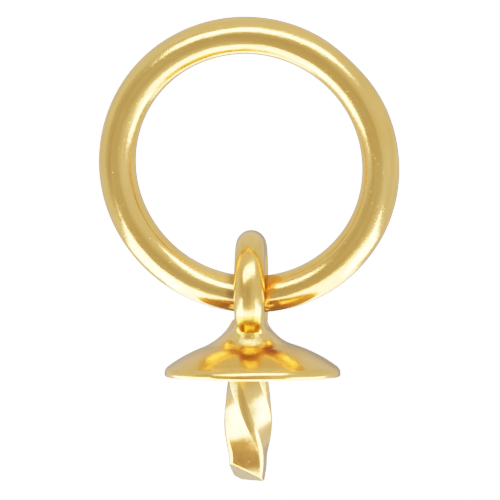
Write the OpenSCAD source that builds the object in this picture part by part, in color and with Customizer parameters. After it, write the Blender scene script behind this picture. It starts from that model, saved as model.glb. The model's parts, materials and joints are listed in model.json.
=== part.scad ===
// Bail finding for a pearl drop: a closed ring, and hanging from it an eye with a cup and a twisted peg
// Units are millimetres, +Z is up, the front is -Y, and the origin is where the ring hangs, at its inner top

/* [Ring] */
// Clear width inside the ring
ring_inner_d = 5.13; // [4.8:0.01:6]
// Diameter of the ring's round wire
ring_wire_d = 0.86; // [0.7:0.01:0.95]
// How far the ring's top leans to the front, in degrees
ring_lean = 11.5; // [0:0.5:15]

/* [Eye] */
// Outer diameter of the eye that holds the ring
eye_outer_d = 2.69; // [2.5:0.01:2.8]
// Diameter of the eye's round wire
eye_wire_d = 0.69; // [0.5:0.01:0.72]
// Height of the eye's centre over the middle of the ring's wire
eye_lift = 0.11; // [0:0.01:0.12]
// How far the eye, with its cup and peg, is turned about the upright, in degrees
eye_turn = 5.2; // [0:0.1:8]

/* [Cup] */
// Diameter of the cup over its rim
cup_d = 4; // [3.6:0.1:4.2]
// Radius of the cup's domed outside
dome_r = 3.2; // [3:0.1:4]
// Depth from the centre of the eye to the top of the dome, if the neck were not there
dome_drop = 1.1; // [1.05:0.01:1.2]
// Thickness of the cup's wall
cup_wall = 0.25; // [0.22:0.01:0.35]
// Height of the rim's straight edge
rim_h = 0.18; // [0.15:0.01:0.21]
// Radius on the lower corner of the rim's edge
rim_round = 0.07; // [0.03:0.01:0.07]
// Diameter of the neck under the eye
neck_d = 0.76; // [0.7:0.01:0.9]
// Radius of the sweep from the neck out to the dome
neck_sweep = 0.8; // [0.5:0.01:0.9]

/* [Peg] */
// Width of the peg across two flat sides
peg_flats = 0.87; // [0.7:0.01:0.9]
// Length of the peg below the rim of the cup
peg_below_rim = 2.35; // [1.5:0.01:3.5]
// Twist of the peg for each millimetre of its length, in degrees
peg_twist = 47.5; // [0:0.5:60]
// Length at the tip of the peg that is not twisted
peg_untwisted = 0.6; // [0:0.05:0.9]
// Direction that the first flat side faces at the root of the peg, in degrees from +X
peg_start = -27; // [-90:1:90]
// How far the peg stands to the left of the middle of the cup
peg_offset = 0.1; // [0:0.01:0.15]
// Slope of the cut end, in degrees
cut_slope = 32; // [0:1:45]
// Direction in which the cut end goes down, in degrees from +X
cut_direction = 40; // [0:1:360]
// Height of the sloping cut above the tip, on the axis of the peg
cut_rise = 0.07; // [0.05:0.01:0.4]

/* [Hidden] */
$fn = 96;

// Corner flats of the peg: share of its length from the root, then width as a share of the peg's own width
peg_corners = [
    [0.00, 0.40],
    [0.30, 0.345],
    [0.50, 0.25],
    [0.80, 0.19],
    [1.00, 0.12]
];
// Taper of the peg: share of its length from the root, then its width there as a share of the full width
peg_widths = [
    [0.00, 1.00],
    [0.60, 1.00],
    [0.80, 0.89],
    [0.90, 0.88],
    [1.00, 0.75]
];
peg_sections = 30;

// Ring: radius of the wire and of its centre line, and the middle of the wire where the eye hangs
wire_r = ring_wire_d / 2;
ring_mean_r = (ring_inner_d + ring_wire_d) / 2;
hang_length = ring_inner_d / 2 + ring_mean_r;
pivot = [0, hang_length * sin(ring_lean), -hang_length * cos(ring_lean)];

// Eye: heights below are measured from its centre
eye_centre = pivot + [0, 0, eye_lift];
eye_r = (eye_outer_d - eye_wire_d) / 2;
eye_hole_r = eye_r - eye_wire_d / 2;

// Cup: one centre for both spheres of its wall, and the two ends of the rim's straight edge
cup_r = cup_d / 2;
dome_z = -dome_drop - dome_r;
inner_dome_r = dome_r - cup_wall;
rim_top_z = dome_z + sqrt(pow(dome_r, 2) - pow(cup_r, 2));
rim_bottom_z = rim_top_z - rim_h;

// Neck: the sweep's arc touches the neck and the dome
sweep_r = neck_d / 2 + neck_sweep;
sweep_z = dome_z + sqrt(pow(dome_r + neck_sweep, 2) - pow(sweep_r, 2));
sweep_touch = dome_r / (dome_r + neck_sweep);
touch_r = sweep_r * sweep_touch;
touch_z = dome_z + (sweep_z - dome_z) * sweep_touch;

// Peg: it starts inside the wall of the cup, and its length is counted from the hollow's top
peg_root_z = dome_z + inner_dome_r;
peg_tip_z = rim_bottom_z - peg_below_rim;
peg_length = peg_root_z - peg_tip_z;
peg_seat = cup_wall / 2;
cutter = 3 * peg_flats;

module bail_ring() {
    color("goldenrod")
        rotate([ring_lean, 0, 0])
            translate([0, 0, -ring_inner_d / 2])
                rotate([90, 0, 0])
                    round_wire_ring(ring_mean_r, wire_r);
}

module cup_and_peg() {
    color("gold")
        translate(eye_centre)
            rotate([0, 0, eye_turn])
                union() {
                    eye();
                    neck_and_cup();
                    peg();
                }
}

module round_wire_ring(centre_r, section_r) {
    rotate_extrude()
        translate([centre_r, 0])
            circle(section_r);
}

module eye() {
    rotate([0, 90, 0])
        round_wire_ring(eye_r, eye_wire_d / 2);
}

// The neck and the cup are turned in one, and the hole of the eye runs on through the neck
module neck_and_cup() {
    difference() {
        rotate_extrude()
            difference() {
                union() {
                    dome_half();
                    neck_half();
                }
                translate([0, dome_z])
                    circle(inner_dome_r);
            }
        rotate([0, 90, 0])
            cylinder(r = eye_hole_r, h = neck_d * 2, center = true);
    }
}

// Half of the dome's outline down to the flat underside of the rim
module dome_half() {
    difference() {
        intersection() {
            translate([0, dome_z])
                circle(dome_r);
            translate([0, rim_bottom_z])
                square([cup_r, dome_r]);
        }
        rim_corner();
    }
}

// What the rounding takes off the rim's lower corner
module rim_corner() {
    translate([cup_r - rim_round, rim_bottom_z])
        difference() {
            square(rim_round);
            translate([0, rim_round])
                circle(rim_round);
        }
}

// Half of the neck's outline, from the level of the hole to where its sweep touches the dome
module neck_half() {
    difference() {
        polygon([
            [0, sweep_z],
            [sweep_r, sweep_z],
            [touch_r, touch_z],
            [0, touch_z]
        ]);
        translate([sweep_r, sweep_z])
            circle(neck_sweep);
    }
}

module peg() {
    translate([-peg_offset, 0, 0])
        difference() {
            twisted_bar();
            translate([0, 0, peg_tip_z + cut_rise])
                rotate([0, cut_slope, cut_direction])
                    translate([-cutter / 2, -cutter / 2, -cutter])
                        cube(cutter);
        }
}

// Eight corners of the bar at one height: a square with its corners taken off
function bar_section(share) =
    let (
        flats = peg_flats * lookup(share, peg_widths),
        half = flats / 2,
        corner = flats * lookup(share, peg_corners) / sqrt(2),
        z = peg_root_z - share * peg_length,
        turn = peg_start + peg_twist * min(share * peg_length, peg_length - peg_untwisted)
    )
    [for (side = [0:3], end = [-1, 1])
        let (
            along = end * (half - corner),
            angle = turn + side * 90
        )
        [half * cos(angle) - along * sin(angle), half * sin(angle) + along * cos(angle), z]];

module twisted_bar() {
    corners = 8;
    shares = [for (i = [0:peg_sections]) i / peg_sections];
    seat_ring = [for (p = bar_section(0)) [p.x, p.y, p.z + peg_seat]];
    rings = concat([seat_ring], [for (share = shares) bar_section(share)]);
    last = len(rings) - 1;
    polyhedron(
        points = [for (ring = rings, p = ring) p],
        faces = concat(
            [[for (k = [corners - 1:-1:0]) k]],
            [for (i = [0:last - 1], k = [0:corners - 1])
                let (next = (k + 1) % corners, here = i * corners, below = here + corners)
                for (triangle = [[here + k, here + next, below + k], [here + next, below + next, below + k]])
                    triangle],
            [[for (k = [0:corners - 1]) last * corners + k]]
        )
    );
}

bail_ring();
cup_and_peg();
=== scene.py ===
import json
import math

import bmesh
import bpy
import numpy as np
from mathutils import Matrix, Vector


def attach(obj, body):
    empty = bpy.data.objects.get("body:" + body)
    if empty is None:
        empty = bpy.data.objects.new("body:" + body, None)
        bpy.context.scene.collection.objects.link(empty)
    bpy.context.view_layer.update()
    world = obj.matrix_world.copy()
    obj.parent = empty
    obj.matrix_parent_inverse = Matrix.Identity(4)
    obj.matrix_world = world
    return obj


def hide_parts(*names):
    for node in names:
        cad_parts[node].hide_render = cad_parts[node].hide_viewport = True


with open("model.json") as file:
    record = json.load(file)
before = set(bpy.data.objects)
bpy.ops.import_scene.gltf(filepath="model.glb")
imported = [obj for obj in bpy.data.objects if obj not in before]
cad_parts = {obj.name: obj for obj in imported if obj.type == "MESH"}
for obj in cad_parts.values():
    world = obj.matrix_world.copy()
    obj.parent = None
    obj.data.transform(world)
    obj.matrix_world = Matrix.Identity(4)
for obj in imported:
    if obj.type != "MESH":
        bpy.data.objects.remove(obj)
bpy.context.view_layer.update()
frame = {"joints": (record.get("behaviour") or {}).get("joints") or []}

# Lengths are in millimetres; the ring is worked out round the pivot, the drop round the middle of its eye
mm = 0.001
pivot = np.array(frame["joints"][0]["pos_m"]) / mm
eyeLift = 0.11                     # middle of the eye over the pivot
eyeTurn = math.radians(5.2)        # turn of the drop about the upright
eyeCentre = pivot + (0, 0, eyeLift)
print("frame loaded, pivot at", pivot.round(3), "mm")


# Meshes

def turned(points, angle):
    # Points turned about the upright through the origin
    c, s = math.cos(angle), math.sin(angle)
    return np.asarray(points) @ np.array([[c, s, 0], [-s, c, 0], [0, 0, 1]])


def onDrop(points):
    # From the eye's own directions to the frame's
    return turned(points, eyeTurn) + eyeCentre


def circleOf(steps):
    # Angles of equal steps, once round
    return np.linspace(0, 2 * np.pi, steps, endpoint=False)


def meshFromArrays(name, points, faces):
    mesh = bpy.data.meshes.new(name)
    placed = np.asarray(points) * mm
    mesh.from_pydata(placed.tolist(), [], [list(face) for face in faces])
    mesh.validate()
    mesh.update()
    mesh.shade_smooth()
    piece = bpy.data.objects.new(name, mesh)
    bpy.context.scene.collection.objects.link(piece)
    return piece


def gridFaces(rows, columns, closedRows=True):
    # Faces between rows of points, each row closed on itself
    faces = []
    for i in range(rows if closedRows else rows - 1):
        nextRow = (i + 1) % rows
        for k in range(columns):
            nextColumn = (k + 1) % columns
            faces.append((i * columns + k, i * columns + nextColumn,
                          nextRow * columns + nextColumn, nextRow * columns + k))
    return faces


# Ring: a closed round wire, rubbed a little flat where its ends were soldered

ring = {
    "clearWidth": 5.13,
    "wire": 0.86,
    "lean": 11.5,            # degrees that the top leans to the front
    "stepsRound": 420,
    "stepsWire": 72,
    "solderAngle": 44,       # degrees from +X towards the top
    "solderSpread": 13,
    "solderFlat": 0.035,     # depth of the flat, on the outside of the wire
    "drawnIn": 0.0088,       # keeps the uneven wire within its full thickness
    "uneven": 0.002,         # how far the wire's thickness wanders, in the waves below
    "waves": [(1.0, 3, 2, 0), (0.7, 7, -1, 1)],    # share, turns round the ring, turns round the wire, start
}
ringRadius = (ring["clearWidth"] + ring["wire"]) / 2
ringLean = math.radians(ring["lean"])
ringMiddle = ringRadius * np.array([0, -math.sin(ringLean), math.cos(ringLean)])


def ringPoints(spec):
    around = circleOf(spec["stepsRound"])[:, None]
    across = circleOf(spec["stepsWire"])[None, :]
    outward = np.cos(across)
    fromSolder = np.degrees(around) - spec["solderAngle"]
    solder = np.exp(-(fromSolder / spec["solderSpread"]) ** 2)
    flat = spec["solderFlat"] * solder * np.clip(outward, 0, 1) ** 2
    waves = sum(share * np.sin(turns * around + wireTurns * across + start)
                for share, turns, wireTurns, start in spec["waves"])
    thick = spec["wire"] / 2 - flat - spec["drawnIn"] - spec["uneven"] * waves
    reach = ringRadius + thick * outward
    upright = np.stack([reach * np.cos(around), -thick * np.sin(across), reach * np.sin(around)], -1)
    c, s = math.cos(ringLean), math.sin(ringLean)
    tilt = np.array([[1, 0, 0], [0, c, -s], [0, s, c]])
    return upright.reshape(-1, 3) @ tilt.T + ringMiddle


ringFaces = gridFaces(ring["stepsRound"], ring["stepsWire"])
bailRing = meshFromArrays("bail_ring_metal", ringPoints(ring) + pivot, ringFaces)
print("ring made,", len(bailRing.data.polygons), "faces")


# Eye, neck and cup: one casting, its surface found from distances so that every joint flows

drop = {
    "eyeOuter": 2.69,
    "eyeWire": 0.69,
    "eyeShift": -0.03,
    "stemRound": 0.06,       # fillet where the eye runs into the neck
    "holeRound": 0.05,       # where the eye's hole runs through the neck
    "cupWidth": 3.992,
    "domeRadius": 3.2,
    "domeDrop": 1.1,
    "wall": 0.25,
    "rimHeight": 0.18,
    "rimRound": 0.06,
    "ridgeRound": 0.07,
    "lipRound": 0.04,
    "neckWidth": 0.72,
    "neckTop": -0.66,
    "neckTopRound": 0.1,
    "neckShift": -0.05,
    "sideSweep": 0.62,       # sweep from the neck to the dome, at its sides
    "leftSweep": 0.13,       # added to it on the left
    "leftFade": 0.4,         # over this width
    "frontSweep": 0.42,      # and under the eye's two strands
    "frontFade": 0.02,       # square mm round the axis where the sweeps meet
    "voxel": 0.032,
    "roughNeck": [(0.4, -0.66), (0.44, -0.86), (0.6, -1.02), (0.85, -1.18)],    # outline of the start
    "roughDome": 1.1,        # where the dome follows it
}


def joinRound(a, b, radius):
    # Union of two distances with a fillet of this radius between them
    outside = np.maximum(radius, np.minimum(a, b))
    return outside - np.hypot(np.maximum(radius - a, 0), np.maximum(radius - b, 0))


def cutRound(a, b, radius):
    # What lies inside both, with the edge between them rounded
    return -joinRound(-a, -b, radius)


def castingSizes(spec):
    # Radii of the eye's wire, the eye and the cup; heights of the dome's centre and the rim's bottom
    eyeWire = spec["eyeWire"] / 2
    eyeMean = spec["eyeOuter"] / 2 - eyeWire
    cupRadius = spec["cupWidth"] / 2
    domeCentre = -spec["domeDrop"] - spec["domeRadius"]
    rimBottom = domeCentre + math.sqrt(spec["domeRadius"] ** 2 - cupRadius ** 2) - spec["rimHeight"]
    return eyeWire, eyeMean, cupRadius, domeCentre, rimBottom


def castingDistance(points, spec=drop):
    x, y, z = points.T
    eyeWire, eyeMean, cupRadius, domeCentre, rimBottom = castingSizes(spec)
    fromAxis = np.hypot(x, y)
    fromHole = np.hypot(y, z)
    fromDomeCentre = np.hypot(fromAxis, z - domeCentre)
    eye = np.hypot(fromHole - eyeMean, x - spec["eyeShift"]) - eyeWire
    neck = np.hypot(x - spec["neckShift"], y) - spec["neckWidth"] / 2
    neck = cutRound(neck, z - spec["neckTop"], spec["neckTopRound"])
    neck = cutRound(neck, eyeMean - eyeWire - fromHole, spec["holeRound"])
    sideways = x ** 2 / (x ** 2 + y ** 2 + spec["frontFade"])
    toLeft = np.clip(0.5 - x / spec["leftFade"], 0, 1)
    aside = spec["sideSweep"] + spec["leftSweep"] * toLeft
    sweep = spec["frontSweep"] + (aside - spec["frontSweep"]) * sideways
    stem = joinRound(neck, eye, spec["stemRound"])
    body = joinRound(stem, fromDomeCentre - spec["domeRadius"], sweep)
    body = cutRound(body, fromAxis - cupRadius, spec["ridgeRound"])
    body = cutRound(body, rimBottom - z, spec["rimRound"])
    return cutRound(body, spec["domeRadius"] - spec["wall"] - fromDomeCentre, spec["lipRound"])


def surfaceSlope(points, distance, step=0.002):
    slope = np.empty_like(points)
    for axis in range(3):
        shift = np.zeros(3)
        shift[axis] = step
        slope[:, axis] = (distance(points + shift) - distance(points - shift)) / (2 * step)
    return slope


def settleOn(points, distance, rounds=8, longest=0.05, flattest=0.05):
    # Moves each point straight to the surface, where the distance is nothing
    for _ in range(rounds):
        slope = surfaceSlope(points, distance)
        steepness = np.maximum((slope ** 2).sum(1), flattest)
        step = np.clip(distance(points) / steepness, -longest, longest)
        points = points - slope * step[:, None]
    return points


def lathePoints(outline, steps):
    turn = circleOf(steps)[:, None]
    radius, height = np.array(outline).T
    return np.stack([radius * np.cos(turn), radius * np.sin(turn), height + 0 * turn], -1).reshape(-1, 3)


def domeOutline(centre, radius, start, end, steps):
    # From one distance from the axis to another
    return [(r, centre + math.sqrt(radius ** 2 - r * r)) for r in np.linspace(start, end, steps)]


def roughCasting(spec, steps=96, wireSteps=32, nearAxis=0.001):
    # A torus and a turned cup that overlap, only as a start for the settled surface
    eyeWire, eyeMean, cupRadius, domeCentre, rimBottom = castingSizes(spec)
    around = circleOf(steps)[:, None]
    across = circleOf(wireSteps)[None, :]
    reach = eyeMean + eyeWire * np.cos(across)
    aside = eyeWire * np.sin(across) + 0 * around
    eyePoints = np.stack([aside, reach * np.cos(around), reach * np.sin(around)], -1).reshape(-1, 3)
    eyeFaces = gridFaces(steps, wireSteps)
    inner = spec["domeRadius"] - spec["wall"]
    lip = math.sqrt(inner ** 2 - (rimBottom - domeCentre) ** 2)
    outline = [(nearAxis, spec["neckTop"])] + spec["roughNeck"]
    outline += domeOutline(domeCentre, spec["domeRadius"], spec["roughDome"], cupRadius, 8)
    outline += [(cupRadius, rimBottom)]
    outline += domeOutline(domeCentre, inner, lip, nearAxis, 16)
    cupFaces = [face[::-1] for face in gridFaces(steps, len(outline))]
    points = np.concatenate([eyePoints, lathePoints(outline, steps)])
    return points, eyeFaces + [tuple(i + len(eyePoints) for i in face) for face in cupFaces]


def applied(piece):
    # The piece with its modifiers made part of its mesh
    shaped = piece.evaluated_get(bpy.context.evaluated_depsgraph_get())
    mesh = bpy.data.meshes.new_from_object(shaped)
    piece.modifiers.clear()
    old = piece.data
    piece.data = mesh
    bpy.data.meshes.remove(old)
    return piece


def remeshed(piece, voxel):
    modifier = piece.modifiers.new("even", "REMESH")
    modifier.mode = "VOXEL"
    modifier.voxel_size = voxel * mm
    modifier.use_smooth_shade = True
    return applied(piece)


def meshPoints(piece):
    points = np.empty(len(piece.data.vertices) * 3)
    piece.data.vertices.foreach_get("co", points)
    return points.reshape(-1, 3) / mm


roughPoints, roughFaces = roughCasting(drop)
casting = meshFromArrays("cup_and_peg_metal", roughPoints, roughFaces)
casting = remeshed(casting, drop["voxel"])
settled = settleOn(meshPoints(casting), castingDistance)
casting.data.vertices.foreach_set("co", (onDrop(settled) * mm).ravel())
casting.data.update()
print("casting settled,", len(casting.data.polygons), "faces, off by",
      float(np.abs(castingDistance(settled)).max().round(5)), "mm at most")


# Peg: a square bar twisted on itself, its corners flattened, its end cut aslant

peg = {
    "flats": 0.87,
    "length": 2.982,         # from the hollow of the cup to the tip
    "rootDepth": 0.12,       # how far it goes on into the cup's wall
    "overrun": 0.1,          # length past the tip, which the cuts take away
    "twist": 47.5,           # degrees for each millimetre
    "untwisted": 0.6,        # length at the tip that is left straight
    "start": -27,
    "offset": -0.1,
    "tip": -4.332,
    "tipLoss": 0.0006,       # worn off the very end
    "cutSlope": 32,
    "cutDirection": 40,
    "cutRise": 0.07,
    "edge": 0.018,           # width of the rounding along every long edge
    "swell": 0.08,           # how far the corner flats stand out, against their width
    "fuller": 0.012,         # makes up for what the rounding takes off the width
    "rows": 150,
    "softening": 6,          # rows to each side over which the lists below are evened out
    "share": [0.0, 0.3, 0.5, 0.6, 0.8, 0.9, 1.0],              # of the length, from the root
    "corner": [0.40, 0.345, 0.25, 0.23, 0.19, 0.155, 0.12],    # corner flats against the bar's width
    "width": [1.0, 1.0, 1.0, 1.0, 0.89, 0.88, 0.75],           # taper towards the tip
}


def cutPlane(spec):
    # A point and the upward direction of the slanting cut, in the eye's own directions
    slope, direction = math.radians(spec["cutSlope"]), math.radians(spec["cutDirection"])
    way = (math.sin(slope) * math.cos(direction), math.sin(slope) * math.sin(direction), math.cos(slope))
    return np.array([spec["offset"], 0, spec["tip"] + spec["cutRise"]]), np.array(way)


def pegOutline(half, corner, edge, swell, steps=9):
    # A square with its corners taken off, the corner flats a little convex and every edge rounded
    leg = corner / math.sqrt(2)
    start, end = np.array([half, half - leg]), np.array([half - leg, half])
    along = (end - start) / np.linalg.norm(end - start)
    outward = np.array([1, 1]) / math.sqrt(2)
    edgeBack, edgeOn, edgeIn = edge * 0.3, edge * 0.1, edge * 0.05    # the middle of a rounded edge
    flatFrom = edge * 0.6                                             # where the corner flat begins
    quarter = [start - np.array([0, edge])]
    quarter.append(start - np.array([0, edgeBack]) + along * edgeOn - outward * edgeIn)
    for step in np.linspace(-1, 1, steps):
        onFlat = start + along * (flatFrom + (corner - 2 * flatFrom) * (step + 1) / 2)
        quarter.append(onFlat + outward * corner * swell * (1 - step ** 2))
    quarter.append(end - np.array([edgeBack, 0]) - along * edgeOn - outward * edgeIn)
    quarter.append(end - np.array([edge, 0]))
    outline = []
    for side in range(4):
        turn = side * math.pi / 2
        spin = np.array([[math.cos(turn), -math.sin(turn)], [math.sin(turn), math.cos(turn)]])
        outline += [spin @ point for point in quarter]
    return np.array(outline)


def softened(values, reach):
    # A moving average along the peg, its ends held
    padded = np.pad(values, reach, mode="edge")
    return np.convolve(padded, np.ones(2 * reach + 1) / (2 * reach + 1), mode="valid")


def pegPiece(spec):
    root = spec["tip"] + spec["length"]
    heights = np.linspace(root + spec["rootDepth"], spec["tip"] - spec["overrun"], spec["rows"])
    run = root - heights
    share = run / spec["length"]
    twisted = np.minimum(run, spec["length"] - spec["untwisted"])
    flats = spec["flats"] * softened(np.interp(share, spec["share"], spec["width"]), spec["softening"])
    corners = flats * softened(np.interp(share, spec["share"], spec["corner"]), spec["softening"])
    turns = np.radians(spec["start"] + spec["twist"] * softened(twisted, spec["softening"]))
    rows = []
    for height, width, corner, turn in zip(heights, flats, corners, turns):
        outline = pegOutline(width / 2 + spec["fuller"], corner, spec["edge"], spec["swell"])
        x = outline[:, 0] * math.cos(turn) - outline[:, 1] * math.sin(turn) + spec["offset"]
        y = outline[:, 0] * math.sin(turn) + outline[:, 1] * math.cos(turn)
        rows.append(np.stack([x, y, np.full_like(x, height)], -1))
    columns = len(rows[0])
    faces = [face[::-1] for face in gridFaces(len(rows), columns, closedRows=False)]
    faces.append(tuple(range(columns)))
    faces.append(tuple(reversed(range((len(rows) - 1) * columns, len(rows) * columns))))
    return meshFromArrays("peg_bar", onDrop(np.concatenate(rows)), faces)


def cutOff(piece, point, way, closeness=1e-8):
    # Takes away what lies behind the plane, closes the end and keeps its edge crisp
    shape = bmesh.new()
    shape.from_mesh(piece.data)
    everything = shape.verts[:] + shape.edges[:] + shape.faces[:]
    made = bmesh.ops.bisect_plane(shape, geom=everything, dist=closeness, clear_inner=True,
                                  plane_co=onDrop(point) * mm, plane_no=turned(way, eyeTurn))
    border = [part for part in made["geom_cut"] if isinstance(part, bmesh.types.BMEdge)]
    bmesh.ops.edgeloop_fill(shape, edges=border)
    for edge in border:
        edge.smooth = False
    bmesh.ops.recalc_face_normals(shape, faces=shape.faces[:])
    shape.to_mesh(piece.data)
    shape.free()


def joined(piece, other):
    modifier = piece.modifiers.new("union", "BOOLEAN")
    modifier.operation = "UNION"
    modifier.solver = "EXACT"
    modifier.object = other
    piece = applied(piece)
    bpy.data.objects.remove(other)
    return piece


pegBar = pegPiece(peg)
cutPoint, cutWay = cutPlane(peg)
cutOff(pegBar, cutPoint, cutWay)
cutOff(pegBar, np.array([peg["offset"], 0, peg["tip"] + peg["tipLoss"]]), np.array([0, 0, 1.0]))
casting = joined(casting, pegBar)
print("peg joined,", len(casting.data.polygons), "faces in all")


# Materials

class Number:
    # A socket that can be reckoned with: each operation adds its Math node
    def __init__(self, sheet, socket):
        self.sheet, self.socket = sheet, socket

    def reckon(self, operation, *others, turnedRound=False):
        inputs = [self, *others]
        if turnedRound:
            inputs.reverse()
        return self.sheet.add("ShaderNodeMath", {"operation": operation}, dict(enumerate(inputs)))

    def __add__(self, other):
        return self.reckon("ADD", other)

    def __radd__(self, other):
        return self.reckon("ADD", other, turnedRound=True)

    def __sub__(self, other):
        return self.reckon("SUBTRACT", other)

    def __rsub__(self, other):
        return self.reckon("SUBTRACT", other, turnedRound=True)

    def __mul__(self, other):
        return self.reckon("MULTIPLY", other)

    def __rmul__(self, other):
        return self.reckon("MULTIPLY", other, turnedRound=True)

    def __pow__(self, other):
        return self.reckon("POWER", other)

    def __rpow__(self, other):
        return self.reckon("POWER", other, turnedRound=True)

    def __abs__(self):
        return self.reckon("ABSOLUTE")


class Sheet:
    # The nodes of one material or of the world
    def __init__(self, tree):
        self.tree = tree
        tree.nodes.clear()

    def add(self, kind, settings, inputs, output=0):
        node = self.tree.nodes.new(kind)
        for name, value in settings.items():
            setattr(node, name, value)
        for name, value in inputs.items():
            if isinstance(value, Number):
                self.tree.links.new(value.socket, node.inputs[name])
            else:
                node.inputs[name].default_value = value
        return Number(self, node.outputs[output]) if node.outputs else node

    def noise(self, place, scale, detail=2.0, roughness=0.5):
        return self.add("ShaderNodeTexNoise", {}, {
            "Vector": place, "Scale": scale, "Detail": detail, "Roughness": roughness})

    def spread(self, value, low, high, toLow=0.0, toHigh=1.0):
        return self.add("ShaderNodeMapRange", {"interpolation_type": "SMOOTHSTEP"}, {
            "Value": value, "From Min": low, "From Max": high, "To Min": toLow, "To Max": toHigh})

    def rise(self, value, fade):
        return self.spread(value, *fade)

    def fall(self, value, fade):
        return 1 - self.rise(value, fade)

    def mix(self, factor, first, second):
        return self.add("ShaderNodeMix", {"data_type": "RGBA"}, {"Factor": factor, 6: first, 7: second}, 2)

    def vector(self, operation, *values):
        output = "Value" if operation in ("LENGTH", "DOT_PRODUCT") else "Vector"
        return self.add("ShaderNodeVectorMath", {"operation": operation}, dict(enumerate(values)), output)

    def scaled(self, vector, factor):
        return self.add("ShaderNodeVectorMath", {"operation": "SCALE"}, {0: vector, "Scale": factor})

    def parts(self, vector):
        first = self.add("ShaderNodeSeparateXYZ", {}, {0: vector})
        return [Number(self, out) for out in first.socket.node.outputs]


def colour(*numbers):
    # Linear colour from 0 to 255 sRGB numbers
    shares = [number / 255 for number in numbers]
    linear = [((share + 0.055) / 1.055) ** 2.4 if share > 0.04 else share / 12.92 for share in shares]
    return (*linear, 1)


# In the three dictionaries below noise is given as its scale for each mm, detail and roughness, a fade as
# where it begins and where it is full, a tint as its strength, and a height as a share of the bump's depth

gold = {
    "bright": (0.95, 0.635, 0.26, 1),
    "deep": (0.94, 0.60, 0.23, 1),
    "clouds": (0.9, 3),
    "cloudFade": (0.35, 0.65),
    "polish": 0.17,
    "rubbed": (9, 4, 0.6),
    "rubbedFade": (0.4, 0.75),
    "rubbedLoss": 0.05,                  # polish that is lost there
    "swell": (1.6, 1),
    "ripple": (5, 3, 0.6),
    "rippleHeight": 0.45,
    "lines": (1.0, 3, 0.6),
    "linesStretch": (9, 9, 30),
    "linesHeight": 0.12,
    "pits": (14, 1),
    "pitsFade": (0.72, 0.78),
    "pitsHeight": 0.2,
    "bumpDepth": 0.008,                  # mm
}

# Places in mm from the pivot
ringLook = {
    "drawn": (1.0, 3, 0.65),             # marks from drawing the wire
    "drawnStretch": (11, 11, 1.3),
    "drawnHeight": 0.5,
    "drawnFade": (0.45, 0.7),
    "drawnTint": 0.35,
    "paintedShade": (0.37, 0.26, 0.13, 1),     # painted shade, beside the eye and where the wire runs through it
    "beside": (0.45, 1.35),              # to both sides of the eye
    "under": (-0.30, 0.02),
    "besideTint": 0.85,
    "hiddenLeft": (-0.62, -0.42),        # and where the wire passes through the eye
    "hiddenRight": (0.34, 0.44),
    "hiddenTop": (0.45, 0.80),
    "hiddenTint": 0.6,
}

# Places in mm from the middle of the eye, in its own directions
dropLook = {
    "pale": (0.96, 0.72, 0.40, 1),       # the drawn bar of the peg
    "bar": (-2.0, -1.98),
    "barTint": 0.12,
    "barPolish": 0.19,
    "paintedBrownReflection": (0.84, 0.43, 0.14, 1),     # painted brown reflection towards the bar's left, above its cut end
    "paintedBrownReflectionBottom": (-4.1, -3.95),
    "paintedBrownReflectionTop": (-3.45, -3.25),
    "paintedBrownReflectionRight": (0.1, 0.3),
    "paintedBrownReflectionTint": 0.6,
    "front": (-0.7, -0.5),
    "paintedReflection": (0.62, 0.38, 0.065, 1),   # painted reflection: deeper gold in the hollow where the eye runs into the neck
    "paintedReflectionBottom": (-1.0, -0.94),
    "paintedReflectionTop": (-0.58, -0.53),
    "paintedReflectionMiddle": -0.05,
    "paintedReflectionSides": (0.22, 0.30),
    "paintedReflectionTint": 0.85,
    "grains": (13, 3, 0.7),              # rough solder under the eye
    "grainsAt": (-0.03, -0.88, -1.10),
    "grainsSquash": (1, 0.8, 2.2),
    "grainsFade": (0.22, 0.42),
    "grainsHeight": 3.2,
    "deeper": (0.82, 0.47, 0.13, 1),     # deeper gold on the dome; on its front under the neck more of it, as painted shade
    "dome": (0.5, 1.2),                  # from the axis outwards
    "domeTint": 0.2,
    "domeLoss": 0.03,
    "domeSwell": (2.2, 2),
    "domeHeight": 1.5,
    "frontInside": (0.55, 0.8),
    "frontOutside": (1.8, 1.9),
    "frontSides": (0.95, 1.25),
    "frontTop": (-1.25, -1.15),
    "frontTint": 0.5,
    "darkCutEnd": (0.16, 0.12, 0.052, 1),      # the cut end, much darker and rougher
    "sawnFade": (0.002, 0.006),
    "sawnPolish": 0.5,
    "sawnEdge": (0.004, 0.035),
    "sawnHeight": 2.6,
}


def alongWire(sheet, place):
    # Place on the ring as turns round it and distances across it, so that noise runs along the wire
    x, y, z = sheet.parts(sheet.vector("SUBTRACT", place, tuple(ringMiddle)))
    up = z * math.cos(ringLean) - y * math.sin(ringLean)
    deep = y * math.cos(ringLean) + z * math.sin(ringLean)
    reach = (x * x + up * up) ** 0.5
    return sheet.add("ShaderNodeCombineXYZ", {}, {0: reach, 1: deep, 2: up.reckon("ARCTAN2", x)})


def ringMarksAndPaintedShade(sheet, place, tint, roughness, height, spec=ringLook):
    # Marks along the wire, and painted shade beside the eye and where the wire runs inside it
    wire = sheet.vector("MULTIPLY", alongWire(sheet, place), spec["drawnStretch"])
    drawn = sheet.noise(wire, *spec["drawn"])
    height = height + drawn * spec["drawnHeight"]
    tint = sheet.mix(sheet.rise(drawn, spec["drawnFade"]) * spec["drawnTint"], tint, gold["deep"])
    # Painted shade: darker brown on the lower wire beside the eye, and on the wire where it runs inside the
    # eye
    x, _, z = sheet.parts(place)
    under = sheet.fall(z, spec["under"])
    beside = sheet.fall(abs(x), spec["beside"]) * under
    hidden = sheet.rise(x, spec["hiddenLeft"]) * sheet.fall(x, spec["hiddenRight"])
    hidden = hidden * sheet.fall(z, spec["hiddenTop"]) * (1 - under)
    tint = sheet.mix(beside * spec["besideTint"] + hidden * spec["hiddenTint"], tint, spec["paintedShade"])
    return tint, roughness, height


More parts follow.
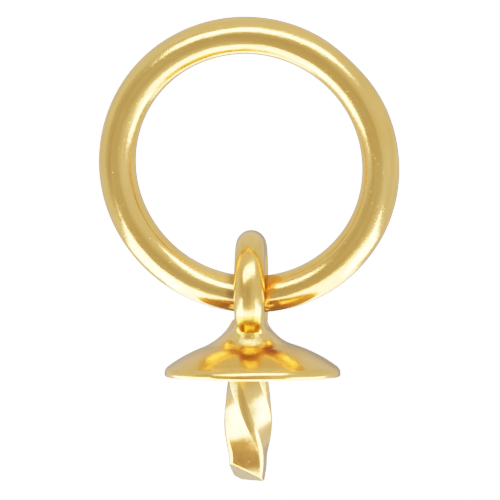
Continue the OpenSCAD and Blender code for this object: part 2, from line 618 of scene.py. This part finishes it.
def dropMarksAndPaintedLight(sheet, place, tint, roughness, height, spec=dropLook):
    fromEye = sheet.vector("SUBTRACT", place, (0, 0, eyeLift))
    own = sheet.add("ShaderNodeVectorRotate", {"rotation_type": "Z_AXIS"},
                    {"Vector": fromEye, "Angle": -eyeTurn})
    x, y, z = sheet.parts(own)
    fromAxis = (x * x + y * y) ** 0.5
    front = sheet.fall(y, spec["front"])

    # The peg's bar
    onBar = sheet.fall(z, spec["bar"])
    tint = sheet.mix(onBar * spec["barTint"], tint, spec["pale"])
    roughness = roughness + onBar * (spec["barPolish"] - gold["polish"])
    # Painted brown reflection towards the bar's left, above its cut end
    paintedBrownReflection = sheet.rise(z, spec["paintedBrownReflectionBottom"]) * sheet.fall(z, spec["paintedBrownReflectionTop"])
    paintedBrownReflection = paintedBrownReflection * sheet.fall(x, spec["paintedBrownReflectionRight"])
    tint = sheet.mix(paintedBrownReflection * spec["paintedBrownReflectionTint"], tint, spec["paintedBrownReflection"])

    # Where the eye runs into the neck: a painted reflection in its hollow, and rough solder grains
    paintedReflection = front * sheet.rise(z, spec["paintedReflectionBottom"]) * sheet.fall(z, spec["paintedReflectionTop"])
    paintedReflection = paintedReflection * sheet.fall(abs(x - spec["paintedReflectionMiddle"]), spec["paintedReflectionSides"])
    tint = sheet.mix(paintedReflection * spec["paintedReflectionTint"], tint, spec["paintedReflection"])
    toGrains = sheet.vector("SUBTRACT", own, spec["grainsAt"])
    toGrains = sheet.vector("MULTIPLY", toGrains, spec["grainsSquash"])
    grainy = sheet.fall(sheet.vector("LENGTH", toGrains), spec["grainsFade"])
    height = height + sheet.noise(place, *spec["grains"]) * grainy * spec["grainsHeight"]

    # The dome, with painted shade on its front under the neck
    onDome = sheet.rise(fromAxis, spec["dome"]) * (1 - onBar)
    # Painted shade: deeper gold on the dome's front, under the neck
    domeFront = sheet.rise(fromAxis, spec["frontInside"]) * sheet.fall(fromAxis, spec["frontOutside"])
    domeFront = domeFront * sheet.fall(abs(x), spec["frontSides"]) * sheet.fall(z, spec["frontTop"])
    domeFront = domeFront * front * (1 - onBar)
    tint = sheet.mix(onDome * spec["domeTint"] + domeFront * spec["frontTint"], tint, spec["deeper"])
    roughness = roughness + onDome * spec["domeLoss"]
    height = height + sheet.noise(place, *spec["domeSwell"]) * onDome * spec["domeHeight"]

    # The cut end
    fromCut = sheet.vector("DOT_PRODUCT", sheet.vector("SUBTRACT", own, tuple(cutPoint)), tuple(cutWay))
    onCut = sheet.fall(fromCut, spec["sawnFade"]) * onBar
    tint = sheet.mix(onCut, tint, spec["darkCutEnd"])
    roughness = roughness + onCut * (spec["sawnPolish"] - spec["barPolish"])
    height = height + sheet.rise(fromCut, spec["sawnEdge"]) * onBar * spec["sawnHeight"]
    return tint, roughness, height


def goldMaterial(name, addMarksAndPaintedLight, spec=gold):
    # Polished yellow gold, with one piece's own marks and painted light on it
    material = bpy.data.materials.new(name)
    material.use_nodes = True
    sheet = Sheet(material.node_tree)
    atObject = sheet.add("ShaderNodeTexCoord", {}, {}, "Object")
    place = sheet.vector("SUBTRACT", sheet.scaled(atObject, 1 / mm), tuple(pivot))

    clouds = sheet.rise(sheet.noise(place, *spec["clouds"]), spec["cloudFade"])
    tint = sheet.mix(clouds, spec["bright"], spec["deep"])
    rubbed = sheet.rise(sheet.noise(place, *spec["rubbed"]), spec["rubbedFade"])
    roughness = spec["polish"] + spec["rubbedLoss"] * rubbed
    lines = sheet.noise(sheet.vector("MULTIPLY", place, spec["linesStretch"]), *spec["lines"])
    pits = sheet.rise(sheet.noise(place, *spec["pits"]), spec["pitsFade"])
    height = sheet.noise(place, *spec["swell"]) + sheet.noise(place, *spec["ripple"]) * spec["rippleHeight"]
    height = height + lines * spec["linesHeight"] - pits * spec["pitsHeight"]
    tint, roughness, height = addMarksAndPaintedLight(sheet, place, tint, roughness, height)

    bump = sheet.add("ShaderNodeBump", {}, {
        "Strength": 1.0, "Distance": spec["bumpDepth"] * mm, "Height": height})
    shader = sheet.add("ShaderNodeBsdfPrincipled", {}, {
        "Base Color": tint, "Metallic": 1.0, "Roughness": roughness, "Normal": bump})
    sheet.add("ShaderNodeOutputMaterial", {}, {"Surface": shader})
    return material


bailRing.data.materials.append(goldMaterial("ring_gold", ringMarksAndPaintedShade))
casting.data.materials.clear()
casting.data.materials.append(goldMaterial("drop_gold", dropMarksAndPaintedLight))

for piece, node, body, slot in ((bailRing, "bail_ring", "ring", "gold_ring"),
                                (casting, "cup_and_peg", "drop", "gold_drop")):
    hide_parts(node)
    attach(piece, body)
print("gold made and pieces riding on their bodies")


# Studio: a white room, darker in front and straight behind, a soft box above, a pale floor under the drop

studio = {
    "floorBelow": 8.5,       # mm under the pivot
    "floorSide": 8.5,        # half its width
    "floorFront": 11,
    "floorBack": 12,
    "floorPale": (244, 243, 240),
    "floorPaler": (250, 249, 247),
    "floorGrain": (900, 4),
    "floorRoughness": 0.8,
    "floorGlow": 2.2,
    "floorFade": 0.3,        # how much of it is lost towards the right
    "dark": 0.50,            # brightness of the room's dark side
    "darkTurn": -20,         # where it is, in degrees to the right of the front
    "darkEdge": (0.45, 0.87),
    "bright": 0.23,          # what the other sides have over it
    "above": 0.03,
    "aboveEdge": (0.2, 1.0),
    "behind": 0.28,          # how much darker it is straight behind, which draws the edges
    "behindTurn": 184,
    "behindEdge": (0.80, 0.97),
    "patches": 0.17,         # how unevenly the room is lit
    "patchGrain": (2.6, 2),
    "cool": (0.94, 0.97, 1.06, 1),
    "boxAway": 160,
    "boxUp": 39.5,
    "boxTurn": 5,
    "boxRoll": 12,
    "boxSize": (285, 58),
    "boxGlow": 3.66,
}


def makeFloor(spec):
    side, front, back = spec["floorSide"], spec["floorFront"], spec["floorBack"]
    corners = np.array([(-side, -front, 0), (side, -front, 0), (side, back, 0), (-side, back, 0)], float)
    corners[:, 2] -= spec["floorBelow"]
    floor = meshFromArrays("pale_floor", corners + pivot, [(0, 1, 2, 3)])
    material = bpy.data.materials.new("floor_white")
    material.use_nodes = True
    sheet = Sheet(material.node_tree)
    atObject = sheet.add("ShaderNodeTexCoord", {}, {}, "Object")
    grain = sheet.noise(atObject, *spec["floorGrain"])
    pale = sheet.mix(grain, colour(*spec["floorPale"]), colour(*spec["floorPaler"]))
    fading = sheet.spread(sheet.parts(atObject)[0], 0.0, side * mm, 1.0, 1 - spec["floorFade"])
    shader = sheet.add("ShaderNodeBsdfPrincipled", {}, {
        "Base Color": pale, "Roughness": spec["floorRoughness"],
        "Emission Color": sheet.scaled(pale, fading), "Emission Strength": spec["floorGlow"]})
    sheet.add("ShaderNodeOutputMaterial", {}, {"Surface": shader})
    floor.data.materials.append(material)


def aimed(azimuth, elevation):
    # Unit vector from the pivot, azimuth 0 in front and 90 to the right
    turn, rise = math.radians(azimuth), math.radians(elevation)
    return Vector((math.sin(turn) * math.cos(rise), -math.cos(turn) * math.cos(rise), math.sin(rise)))


def makeWorld(spec, white):
    world = bpy.data.worlds.new("studio")
    bpy.context.scene.world = world
    world.use_nodes = True
    sheet = Sheet(world.node_tree)
    way = sheet.add("ShaderNodeTexCoord", {}, {}, "Generated")
    facing = sheet.vector("DOT_PRODUCT", way, tuple(aimed(spec["darkTurn"], 0)))
    facingBack = sheet.vector("DOT_PRODUCT", way, tuple(aimed(spec["behindTurn"], 0)))
    aside = sheet.fall(facing, spec["darkEdge"])
    above = sheet.rise(sheet.parts(way)[2], spec["aboveEdge"])
    behind = sheet.rise(facingBack, spec["behindEdge"])
    patches = sheet.noise(way, *spec["patchGrain"]) * 2 - 1
    glow = spec["dark"] + aside * spec["bright"] + above * spec["above"]
    glow = glow + patches * spec["patches"] - behind * spec["behind"]
    tint = sheet.mix(aside, (1, 1, 1, 1), spec["cool"])
    seen = sheet.add("ShaderNodeLightPath", {}, {}, "Is Camera Ray")
    room = sheet.add("ShaderNodeBackground", {}, {"Color": tint, "Strength": glow})
    backdrop = sheet.add("ShaderNodeBackground", {}, {"Color": (1, 1, 1, 1), "Strength": white})
    both = sheet.add("ShaderNodeMixShader", {}, {0: seen, 1: room, 2: backdrop})
    sheet.add("ShaderNodeOutputWorld", {}, {"Surface": both})


def makeBox(name, place, way, size, glow, roll=0.0):
    # A rectangle of soft light, way being the direction from what it lights to the box
    light = bpy.data.lights.new(name, "AREA")
    light.shape = "RECTANGLE"
    light.size, light.size_y = (side * mm for side in size)
    light.energy = glow * math.pi * light.size * light.size_y
    lamp = bpy.data.objects.new(name, light)
    lamp.location = Vector((pivot + np.array(place)) * mm)
    turn = Matrix.Rotation(math.radians(roll), 4, "Z")
    lamp.rotation_euler = (way.to_track_quat("Z", "Y").to_matrix().to_4x4() @ turn).to_euler()
    bpy.context.scene.collection.objects.link(lamp)


# Two low strips of light, left and right of the peg
strips = {
    "out": 6.6,              # mm from the middle
    "down": 4.8,
    "height": 4.8,
    "tilt": 14,              # degrees that they look up
    "glow": 3.2,
    "left": (-7.2, 2.2),     # from the front to the back, mm
    "right": (-5.2, 2.0),
}


def makeStrips(spec):
    tilt = math.radians(spec["tilt"])
    for name, side in (("left", -1), ("right", 1)):
        front, back = spec[name]
        way = Vector((side * math.cos(tilt), 0, -math.sin(tilt)))
        place = (side * spec["out"], (front + back) / 2, -spec["down"])
        makeBox(name + "_strip", place, way, (back - front, spec["height"]), spec["glow"])


# The picture's tone: a soft shoulder, as a camera gives, so that bright gold turns cream and not lemon
tone = {
    "white": 2.4,
    "given": [0.10, 0.20, 0.30, 0.40, 0.52, 0.70, 0.95, 1.30, 1.80],
    "shown": [0.07, 0.18, 0.32, 0.43, 0.54, 0.67, 0.80, 0.89, 0.95],
}


def setTone(spec):
    view = bpy.context.scene.view_settings
    view.view_transform = "Standard"
    view.use_curve_mapping = True
    view.curve_mapping.white_level = (spec["white"],) * 3
    line = view.curve_mapping.curves[3]
    for given, shown in zip(spec["given"], spec["shown"]):
        line.points.new(given / spec["white"], shown)
    view.curve_mapping.update()


makeFloor(studio)
makeWorld(studio, tone["white"])
boxWay = aimed(studio["boxTurn"], studio["boxUp"])
makeBox("soft_box", boxWay * studio["boxAway"], boxWay,
        studio["boxSize"], studio["boxGlow"], studio["boxRoll"])
makeStrips(strips)
setTone(tone)
print("studio made")


# Camera, a little above the cup's rim and a little to the right

camera = {
    "away": 200,
    "azimuth": 8.0,
    "elevation": 2.3,
    "sensor": 36,
    "frameWidth": 11.30,     # mm across the picture at the pivot
    "aim": (-0.058, 0, 1.0),
}


def makeCamera(spec):
    lens = bpy.data.cameras.new("camera")
    lens.sensor_width = spec["sensor"]
    lens.lens = spec["sensor"] * spec["away"] / spec["frameWidth"]
    lens.clip_start, lens.clip_end = 0.001, 10
    eye = bpy.data.objects.new("camera", lens)
    way = aimed(spec["azimuth"], spec["elevation"])
    target = Vector((pivot + np.array(spec["aim"])) * mm)
    eye.location = target + way * spec["away"] * mm
    eye.rotation_euler = way.to_track_quat("Z", "Y").to_euler()
    bpy.context.scene.collection.objects.link(eye)
    bpy.context.scene.camera = eye


makeCamera(camera)
